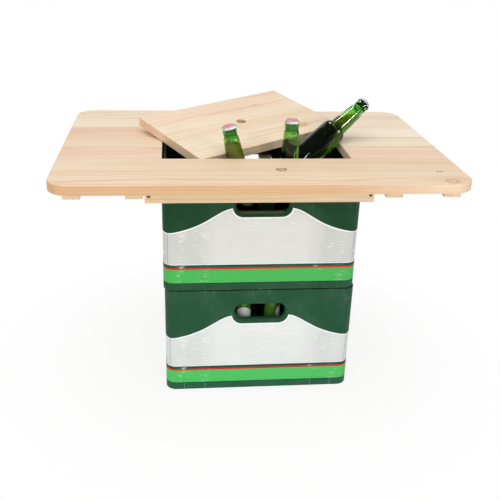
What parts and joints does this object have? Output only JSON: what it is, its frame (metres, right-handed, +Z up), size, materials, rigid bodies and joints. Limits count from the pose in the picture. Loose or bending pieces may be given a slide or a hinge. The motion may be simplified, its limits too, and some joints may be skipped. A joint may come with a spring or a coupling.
{
  "type": "beer crate table",
  "caption": "Low wooden table top with an open hatch and loose lid, set over stacked plastic beer crates that hold bottles.",
  "frame": {"origin": "on the floor under the centre of the table top", "axes": "+X right along the table's long side, +Y to the back, +Z up"},
  "size_m": [0.772, 0.5624, 0.5976],
  "materials": {
    "plank_wood": "planed pine, bare",
    "light_board_wood": "planed pine, bare",
    "pink_board_wood": "planed pine, bare, slightly reddish",
    "lid_wood": "planed pine, bare",
    "frame_wood": "planed pine, bare",
    "screw_steel": "zinc plated",
    "crate_green": "moulded, scuffed",
    "divider_green": "moulded",
    "crate_sleeve": null,
    "bottle_glass": "green bottle glass",
    "crown_cap": "red top over bare crimped skirt",
    "beer": "clear amber liquid",
    "neck_sticker": "plain sticker"
  },
  "bodies": {
    "lower_crate": {"lower_crate": "crate_green", "lower_dividers": "divider_green", "lower_label": "crate_sleeve"},
    "upper_crate": {"upper_crate": "crate_green", "upper_dividers": "divider_green", "upper_label": "crate_sleeve", "prop_bottle_glass": "bottle_glass", "prop_bottle_cap": "crown_cap", "prop_bottle_beer": "beer"},
    "table_top": {"front_inner_stave": "plank_wood", "front_outer_stave": "plank_wood", "rear_inner_stave": "plank_wood", "rear_outer_stave": "plank_wood", "left_board_front": "pink_board_wood", "left_board_middle": "light_board_wood", "left_board_rear": "pink_board_wood", "right_board_front": "pink_board_wood", "right_board_middle": "light_board_wood", "right_board_rear": "light_board_wood", "batten_left_outer": "frame_wood", "batten_left_inner": "frame_wood", "batten_right_inner": "frame_wood", "batten_right_outer": "frame_wood", "collar_front": "frame_wood", "collar_rear": "frame_wood", "collar_left": "frame_wood", "collar_right": "frame_wood", "batten_screws": "screw_steel", "collar_screws": "screw_steel"},
    "lid": {"lid_board_front": "lid_wood", "lid_board_middle": "lid_wood", "lid_board_rear": "lid_wood", "lid_cleat_left": "frame_wood", "lid_cleat_right": "frame_wood", "lid_screws": "screw_steel"},
    "lower_left_bottle": {"lower_left_glass": "bottle_glass", "lower_left_cap": "crown_cap", "lower_left_beer": "beer", "lower_left_sticker": "neck_sticker"},
    "lower_right_bottle": {"lower_right_glass": "bottle_glass", "lower_right_cap": "crown_cap", "lower_right_beer": "beer", "lower_right_sticker": "neck_sticker"},
    "rear_bottle": {"rear_bottle_glass": "bottle_glass", "rear_bottle_cap": "crown_cap", "rear_bottle_beer": "beer"},
    "upright_bottle": {"upright_bottle_glass": "bottle_glass", "upright_bottle_cap": "crown_cap", "upright_bottle_beer": "beer"},
    "tilted_bottle": {"tilted_bottle_glass": "bottle_glass", "tilted_bottle_cap": "crown_cap", "tilted_bottle_beer": "beer"},
    "leaning_bottle": {"leaning_bottle_glass": "bottle_glass", "leaning_bottle_cap": "crown_cap", "leaning_bottle_beer": "beer"}
  },
  "joints": [
    {"name": "upper_crate_lift", "type": "slide", "parent": "lower_crate", "child": "upper_crate", "axis": [0, 0, 1], "range_m": [0, 0.2]},
    {"name": "table_top_lift", "type": "slide", "parent": "upper_crate", "child": "table_top", "axis": [0, 0, 1], "range_m": [0, 0.02]},
    {"name": "lid_lift", "type": "slide", "parent": "table_top", "child": "lid", "axis": [0, 0.342, 0.9397], "range_m": [0, 0.15]},
    {"name": "leaning_bottle_lift", "type": "slide", "parent": "table_top", "child": "leaning_bottle", "axis": [0, 0, 1], "range_m": [0, 0.15]},
    {"name": "upright_bottle_lift", "type": "slide", "parent": "upper_crate", "child": "upright_bottle", "axis": [0, 0, 1], "range_m": [0, 0.16]},
    {"name": "tilted_bottle_tip", "type": "hinge", "parent": "upper_crate", "child": "tilted_bottle", "pos_m": [0.0098, -0.1, 0.373], "axis": [0, 1, 0], "range_deg": [0, 12.7]},
    {"name": "rear_bottle_lift", "type": "slide", "parent": "upper_crate", "child": "rear_bottle", "axis": [0, 0, 1], "range_m": [0, 0.05]},
    {"name": "lower_left_bottle_lift", "type": "slide", "parent": "lower_crate", "child": "lower_left_bottle", "axis": [0, 0, 1], "range_m": [0, 0.02]},
    {"name": "lower_right_bottle_lift", "type": "slide", "parent": "lower_crate", "child": "lower_right_bottle", "axis": [0, 0, 1], "range_m": [0, 0.02]}
  ]
}
